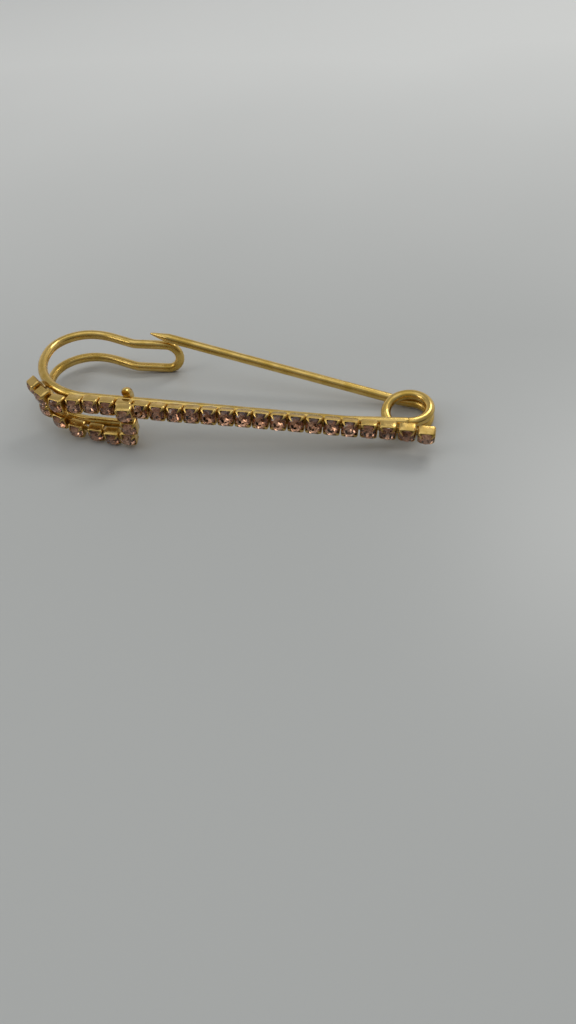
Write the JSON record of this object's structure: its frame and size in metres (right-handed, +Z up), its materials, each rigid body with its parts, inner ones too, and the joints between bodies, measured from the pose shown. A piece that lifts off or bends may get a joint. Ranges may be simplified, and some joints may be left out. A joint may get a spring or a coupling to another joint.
{
  "type": "saree pin",
  "caption": "Gold-coloured spring pin bent from one wire, with a coil, a double-strand hook that takes the open arm, and a chain of small set stones along the bar",
  "frame": {"origin": "Middle of the pin's outline, on the surface that it lies on.", "axes": "+X runs along the bar from the hook to the coil, +Y from the bar to the pin arm, +Z up from the surface. The pin lies on its side on three feet, so its own plane leans 5 degrees."},
  "size_m": [0.063, 0.0233, 0.0084],
  "materials": {
    "wire": "polished yellow gold-coloured plating, a little rubbed",
    "setting": "satin gold-coloured plating",
    "stone": "cut glass, light brownish rose with a foiled back"
  },
  "bodies": {
    "frame": {"wire_frame": "wire", "bar_settings": "setting", "ring_settings": "setting", "bar_stones": "stone", "ring_stones": "stone"},
    "arm": {"spring_arm": "wire"}
  },
  "joints": [
    {"name": "arm_swing", "type": "hinge", "parent": "frame", "child": "arm", "pos_m": [0.02726, -0.00195, 0.00287], "axis": [-0.0944, 0.1175, -0.9886], "range_deg": [-3.2, 10], "stiffness_Nm_per_rad": 0.5}
  ]
}
